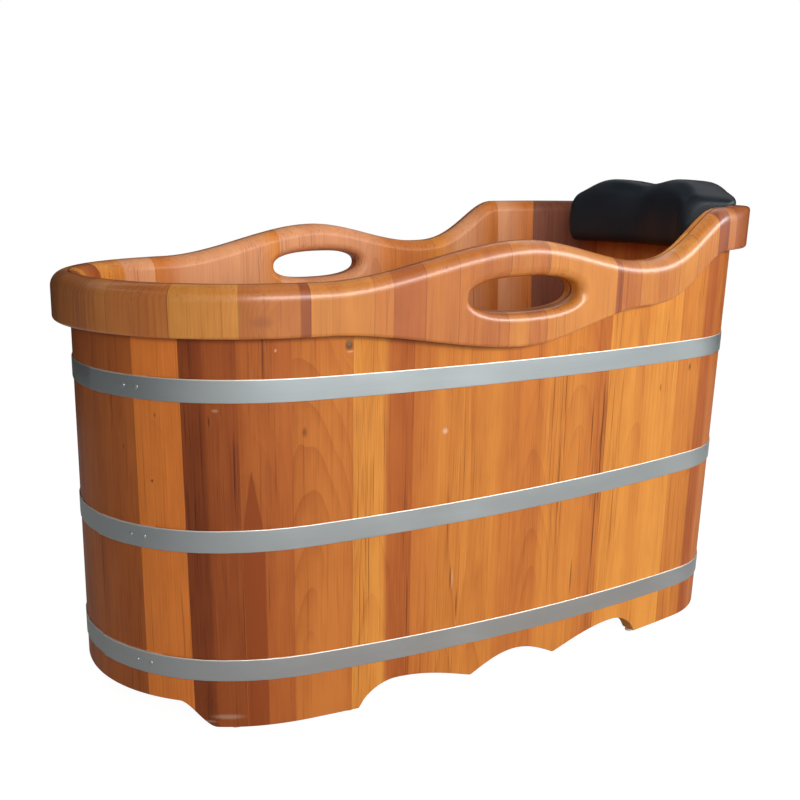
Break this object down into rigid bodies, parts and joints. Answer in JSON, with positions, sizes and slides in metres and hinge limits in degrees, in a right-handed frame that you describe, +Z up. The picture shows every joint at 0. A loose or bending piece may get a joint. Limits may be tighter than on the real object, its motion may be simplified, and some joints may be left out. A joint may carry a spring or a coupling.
{
  "type": "wooden bathtub",
  "caption": "Oval free-standing bathtub of upright wooden staves with steel hoops, a wavy rim with hand holes, a floor drain and a lift-off padded headrest.",
  "frame": {"origin": "middle of the tub's outer length and width, on the ground under its glides", "axes": "+Z up, +X along the tub towards the high head end with the headrest, -Y the side whose hoops are lapped and riveted"},
  "size_m": [1.2024, 0.6984, 0.7737],
  "materials": {
    "wood_honey": "clear gloss varnish",
    "wood_orange": "clear gloss varnish",
    "wood_red": "clear gloss varnish",
    "wood_brown": "clear gloss varnish",
    "wood_rim": "clear gloss varnish",
    "wood_floor": "clear satin varnish",
    "hoop_steel": "satin, brushed along its length",
    "drain_chrome": "polished",
    "drain_rubber": "matt",
    "cup_rubber": "satin",
    "headrest_cover": "satin, smooth",
    "glide_plastic": "milky"
  },
  "bodies": {
    "tub": {"stave_foot": "wood_brown", "stave_head": "wood_orange", "stave_near_01": "wood_brown", "stave_near_02": "wood_honey", "stave_near_03": "wood_red", "stave_near_04": "wood_red", "stave_near_05": "wood_orange", "stave_near_06": "wood_honey", "stave_near_07": "wood_orange", "stave_near_08": "wood_orange", "stave_near_09": "wood_orange", "stave_near_10": "wood_honey", "stave_near_11": "wood_honey", "stave_near_12": "wood_honey", "stave_near_13": "wood_red", "stave_near_14": "wood_brown", "stave_near_15": "wood_orange", "stave_near_16": "wood_red", "stave_near_17": "wood_orange", "stave_far_01": "wood_orange", "stave_far_02": "wood_honey", "stave_far_03": "wood_red", "stave_far_04": "wood_orange", "stave_far_05": "wood_brown", "stave_far_06": "wood_orange", "stave_far_07": "wood_honey", "stave_far_08": "wood_red", "stave_far_09": "wood_orange", "stave_far_10": "wood_brown", "stave_far_11": "wood_orange", "stave_far_12": "wood_honey", "stave_far_13": "wood_red", "stave_far_14": "wood_orange", "stave_far_15": "wood_brown", "stave_far_16": "wood_orange", "stave_far_17": "wood_honey", "rim_foot": "wood_rim", "rim_near": "wood_rim", "rim_far": "wood_rim", "rim_head": "wood_rim", "hoop_low": "hoop_steel", "hoop_middle": "hoop_steel", "hoop_high": "hoop_steel", "hoop_rivets": "hoop_steel", "floor_board_1": "wood_floor", "floor_board_2": "wood_floor", "floor_board_3": "wood_floor", "floor_board_4": "wood_floor", "floor_board_5": "wood_floor", "batten_foot": "wood_floor", "batten_head": "wood_floor", "floor_screws": "hoop_steel", "drain_body": "drain_chrome", "drain_gasket": "drain_rubber", "drain_nut": "drain_chrome", "glides": "glide_plastic"},
    "plug": {"drain_plug": "drain_chrome", "plug_seal": "drain_rubber"},
    "headrest": {"headrest": "headrest_cover", "headrest_cups": "cup_rubber"}
  },
  "joints": [
    {"name": "plug_lift", "type": "slide", "parent": "tub", "child": "plug", "axis": [0, 0, 1], "range_m": [0, 0.012]},
    {"name": "headrest_lift", "type": "slide", "parent": "tub", "child": "headrest", "axis": [0, 0, 1], "range_m": [0, 0.13]}
  ]
}
